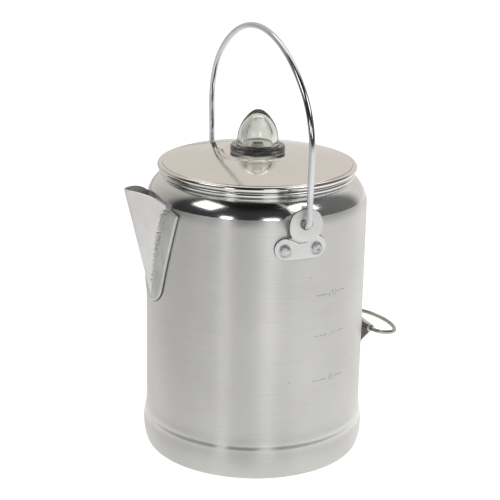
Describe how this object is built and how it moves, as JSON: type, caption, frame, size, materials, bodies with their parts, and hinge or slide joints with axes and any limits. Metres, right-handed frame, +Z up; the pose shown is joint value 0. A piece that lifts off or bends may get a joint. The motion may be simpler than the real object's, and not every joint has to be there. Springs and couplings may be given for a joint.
{
  "type": "camping coffee percolator",
  "caption": "Tall round aluminium stovetop coffee percolator with a glass dome knob on its lid, a V spout, a wire bail, a rear tipping loop, and a pump stem with a coffee basket inside.",
  "frame": {"origin": "centre of the flat base, on the surface that the pot stands on", "axes": "+Z up; the spout points along -X and the rear loop along +X; the front ear is on -Y and the rear ear on +Y, so the bail swings about an axis along Y"},
  "size_m": [0.2236, 0.1982, 0.3249],
  "materials": {
    "brushed_aluminium": "brushed round the pot below the shoulder, polished on the shoulder and neck",
    "polished_aluminium": "polished",
    "satin_aluminium": "satin, rougher along the weld",
    "matte_aluminium": "matte, tumbled",
    "rivet_aluminium": "satin",
    "plain_aluminium": "satin",
    "chrome_wire": "bright plated",
    "plated_wire": "dull plated",
    "clear_glass": "clear, faint green-grey tint"
  },
  "bodies": {
    "pot": {"pot_body": "brushed_aluminium", "spout": "satin_aluminium", "front_ear": "matte_aluminium", "rear_ear": "matte_aluminium", "front_ear_rivets": "rivet_aluminium", "rear_ear_rivets": "rivet_aluminium", "loop_bracket": "matte_aluminium", "loop_bracket_rivets": "rivet_aluminium"},
    "bail": {"bail_handle": "chrome_wire"},
    "tipping_loop": {"rear_loop": "plated_wire"},
    "lid": {"lid_shell": "polished_aluminium", "lid_skirt": "polished_aluminium"},
    "knob": {"glass_knob": "clear_glass"},
    "stem": {"stem_tube": "plain_aluminium", "pump_foot": "plain_aluminium", "stem_stop_collar": "plain_aluminium"},
    "basket": {"basket_shell": "plain_aluminium", "basket_hub": "plain_aluminium"},
    "spreader": {"spreader_plate": "plain_aluminium", "spreader_guide": "plain_aluminium"}
  },
  "joints": [
    {"name": "bail_swing", "type": "hinge", "parent": "pot", "child": "bail", "pos_m": [0, 0, 0.1977], "axis": [0, 1, 0], "range_deg": [-120, 120]},
    {"name": "rear_loop_fold", "type": "hinge", "parent": "pot", "child": "tipping_loop", "pos_m": [0.0915, 0, 0.084], "axis": [0, -1, 0], "range_deg": [0, 112]},
    {"name": "lid_lift", "type": "slide", "parent": "pot", "child": "lid", "axis": [0, 0, 1], "range_m": [0, 0.058]},
    {"name": "knob_turn", "type": "hinge", "parent": "lid", "child": "knob", "pos_m": [0, 0, 0.2297], "axis": [0, 0, 1], "range_deg": [0, 90]},
    {"name": "stem_lift", "type": "slide", "parent": "pot", "child": "stem", "axis": [0, 0, 1], "range_m": [0, 0.015]},
    {"name": "basket_lift", "type": "slide", "parent": "stem", "child": "basket", "axis": [0, 0, 1], "range_m": [0, 0.015]},
    {"name": "spreader_lift", "type": "slide", "parent": "basket", "child": "spreader", "axis": [0, 0, 1], "range_m": [0, 0.015]}
  ],
  "couplings": [
    {"joint": "stem_lift", "follows": "lid_lift", "ratio": 0.25},
    {"joint": "basket_lift", "follows": "lid_lift", "ratio": 0.25},
    {"joint": "spreader_lift", "follows": "lid_lift", "ratio": 0.25}
  ]
}
